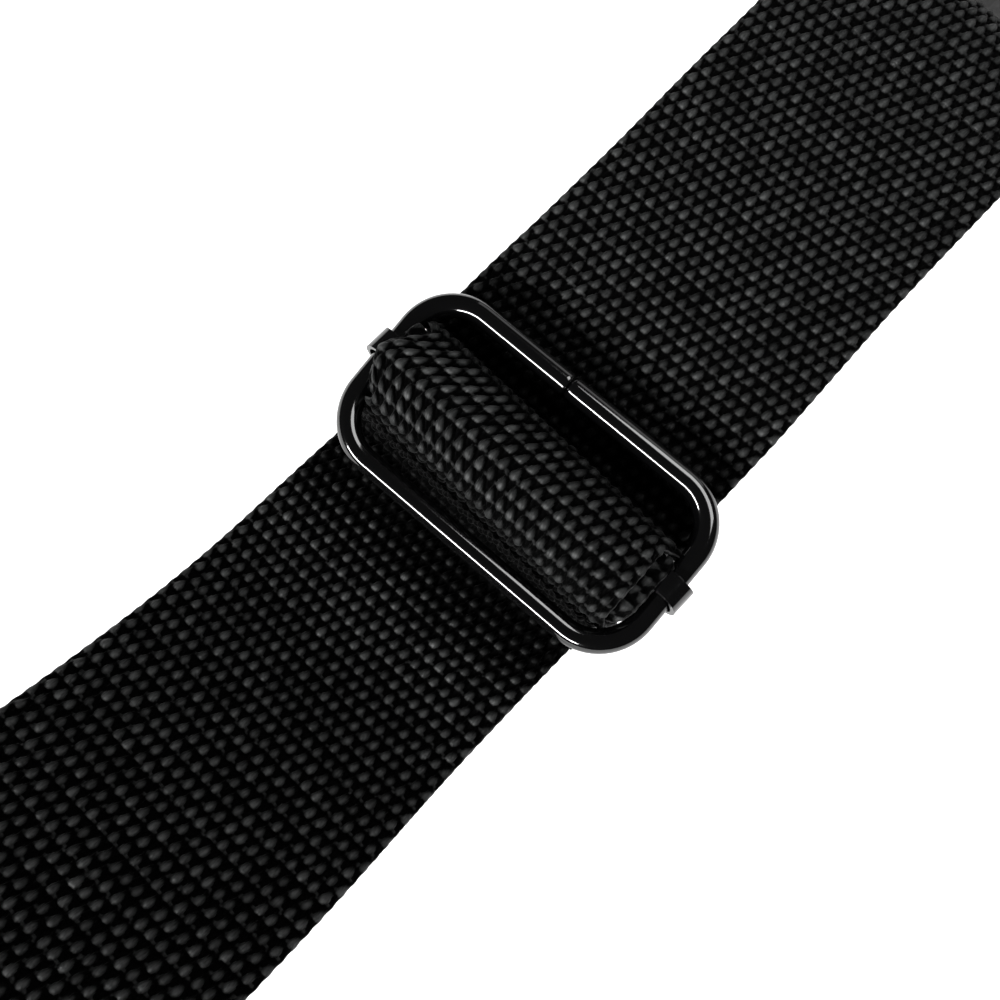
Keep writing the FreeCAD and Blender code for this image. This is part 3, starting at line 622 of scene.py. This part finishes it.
def curled_bar():
    """The movable bar: a flat strip whose narrowed ends curl up over the loop's short wires."""
    shape = bmesh.new()
    for way in (1, -1):
        wire_y = SLIDE_Y - BENT / 2 if way > 0 else -SLIDE_Y
        profile = [(wire_y - way * 10.35, BAR_LEVEL, BAR_WIDTH / 2),
                   (wire_y - way * 4.2, BAR_LEVEL, BAR_WIDTH / 2),
                   (wire_y - way * 3.4, 0.78, 2.2), (wire_y - way * 2.9, 0.74, 1.9)]
        for angle in np.radians(np.linspace(12, CURL_TURN, 26)):
            share = angle / math.radians(CURL_TURN)
            reach = CURL_REACH + 0.2 * max(0.0, share - 0.75) * 4
            flare = CURL_FLARE + 0.4 * max(0.0, share - 0.5) * 2
            profile.append((wire_y - way * reach * math.cos(angle), reach * math.sin(angle), flare))
        points = np.array([(y, z) for y, z, _ in profile])
        ahead = np.gradient(points, axis=0)
        ahead /= np.linalg.norm(ahead, axis=1)[:, None]
        normal = np.stack([-ahead[:, 1], ahead[:, 0]], 1)
        middle_x = BAR_X - way * CURL_ASIDE
        rings = []
        for (y, z), out, (_, _, half) in zip(points, normal, profile):
            ring = []
            for side, face in ((-1, -1), (1, -1), (1, 1), (-1, 1)):
                ring.append(shape.verts.new(Vector((middle_x + side * half,
                                                    y + face * BAR_HALF * out[0] + ASIDE,
                                                    LEVEL + z + face * BAR_HALF * out[1])) * MM))
            rings.append(ring)
        for near, far in zip(rings, rings[1:]):
            for index in range(4):
                beyond = (index + 1) % 4
                shape.faces.new((near[index], near[beyond], far[beyond], far[index]))
        shape.faces.new(rings[0])
        shape.faces.new(rings[-1][::-1])
    box = bmesh.ops.create_cube(shape, size=1.0)["verts"]
    for vertex in box:
        vertex.co = Vector((BAR_X + vertex.co.x * BAR_WIDTH, vertex.co.y * BAR_LENGTH + ASIDE,
                            LEVEL + BAR_LEVEL + vertex.co.z * 2 * BAR_HALF)) * MM
    bmesh.ops.recalc_face_normals(shape, faces=shape.faces)
    mesh = bpy.data.meshes.new("movable_bar_strip")
    shape.to_mesh(mesh)
    shape.free()
    obj = bpy.data.objects.new("movable_bar_strip", mesh)
    bpy.context.scene.collection.objects.link(obj)
    bpy.context.view_layer.objects.active = obj
    for face in mesh.polygons:
        face.use_smooth = True
    rounded_edges(obj, 0.28, 40)
    return obj


finished(curled_bar(), PAINT, "bar_strip", "slide", "movable_bar")


def stitches(node_name, body):
    """Round thread in place of each of a seam's CAD boxes."""
    shape = bmesh.new()
    shape.from_mesh(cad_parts[node_name].data)
    bmesh.ops.remove_doubles(shape, verts=shape.verts, dist=0.00001)
    shape.verts.ensure_lookup_table()
    seen, groups = set(), []
    for vertex in shape.verts:
        if vertex.index in seen:
            continue
        group, queue = [], [vertex]
        seen.add(vertex.index)
        while queue:
            here = queue.pop()
            group.append(np.array(here.co))
            for edge in here.link_edges:
                other = edge.other_vert(here)
                if other.index not in seen:
                    seen.add(other.index)
                    queue.append(other)
        groups.append(np.array(group))
    shape.free()
    joined = bmesh.new()
    for group in groups:
        middle = group.mean(0)
        _, _, axes = np.linalg.svd(group - middle)
        along, across = axes[0], axes[1]
        up = np.cross(along, across)
        spans = [np.ptp((group - middle) @ axis) / 2 for axis in (along, across, up)]
        turn = Matrix((along * spans[0] * 1.12, across * spans[1] * 0.85,
                       up * spans[2] * 1.3)).transposed().to_4x4()
        turn.translation = Vector(middle)
        bmesh.ops.create_uvsphere(joined, u_segments=10, v_segments=8, radius=1.0, matrix=turn)
    mesh = bpy.data.meshes.new(node_name + "_thread")
    joined.to_mesh(mesh)
    joined.free()
    for face in mesh.polygons:
        face.use_smooth = True
    obj = bpy.data.objects.new(node_name + "_thread", mesh)
    bpy.context.scene.collection.objects.link(obj)
    finished(obj, THREAD, "thread", body, node_name)


for seam, body in (("tab_a_edge_stitching", "strap"), ("tab_a_box_stitching", "strap"),
                   ("tab_b_edge_stitching", "tab_b"), ("tab_b_box_stitching", "tab_b"),
                   ("sewn_end_stitching", "slide")):
    stitches(seam, body)

# ---- floor, light and camera ----


bpy.ops.mesh.primitive_plane_add(size=6, location=(0, 0, -0.0006))
floor = bpy.context.object
floor.name = "floor"
paper, paper_tree, paper_shader = material("floor")
paper_shader.inputs["Base Color"].default_value = (0.9, 0.9, 0.9, 1)
paper_shader.inputs["Roughness"].default_value = 0.9
paper_shader.inputs["Specular IOR Level"].default_value = 0.0
paper_shader.inputs["Emission Color"].default_value = (1, 1, 1, 1)
seen = node(paper_tree, "ShaderNodeLightPath")
lift = node(paper_tree, "ShaderNodeMath", operation="MULTIPLY")
lift.inputs[1].default_value = 0.85
paper_tree.links.new(seen.outputs["Is Camera Ray"], lift.inputs[0])
paper_tree.links.new(lift.outputs["Value"], paper_shader.inputs["Emission Strength"])
floor.data.materials.append(paper)

world = bpy.data.worlds.new("studio")
bpy.context.scene.world = world
world.use_nodes = True
sky = world.node_tree.nodes["Background"]
sky.inputs["Color"].default_value = (1, 1, 1, 1)
rays = node(world.node_tree, "ShaderNodeLightPath")
glow = node(world.node_tree, "ShaderNodeMapRange")
glow.inputs["To Min"].default_value = 0.035
glow.inputs["To Max"].default_value = 1.0
world.node_tree.links.new(rays.outputs["Is Camera Ray"], glow.inputs["Value"])
world.node_tree.links.new(glow.outputs["Result"], sky.inputs["Strength"])


def softbox(name, place, target, width, height, power):
    """A rectangular light that faces target. width lies level."""
    light = bpy.data.lights.new(name, "AREA")
    light.shape = "RECTANGLE"
    light.size, light.size_y = width, height
    light.energy = power
    obj = bpy.data.objects.new(name, light)
    obj.location = place
    obj.rotation_euler = (Vector(target) - Vector(place)).to_track_quat("-Z", "Y").to_euler()
    bpy.context.scene.collection.objects.link(obj)


softbox("key", (-1.20, 0.09, 0.645), (0, 0, 0.03), 1.35, 0.17, 44.0)
softbox("fill", (0.62, -0.2, 0.85), (0, 0, 0.03), 0.7, 0.5, 6.5)
softbox("sheen", (0.8, 0.12, 0.33), (0, 0, 0.03), 0.6, 0.34, 0.45)

camera_data = bpy.data.cameras.new("camera")
camera_data.lens = 36.0
camera_data.sensor_width = 36.0
camera_data.clip_start = 0.01
camera = bpy.data.objects.new("camera", camera_data)
bpy.context.scene.collection.objects.link(camera)
right = Vector((0.696, -0.718, 0.017)).normalized()
back = -Vector((0.155, 0.127, -0.98)).normalized()
up = back.cross(right).normalized()
right = up.cross(back).normalized()
turn = Matrix((right, up, back)).transposed().to_4x4()
turn.translation = Vector((-0.0281, -0.0209, 0.1689))
camera.matrix_world = turn
bpy.context.scene.camera = camera

bpy.context.scene.view_settings.view_transform = "Standard"
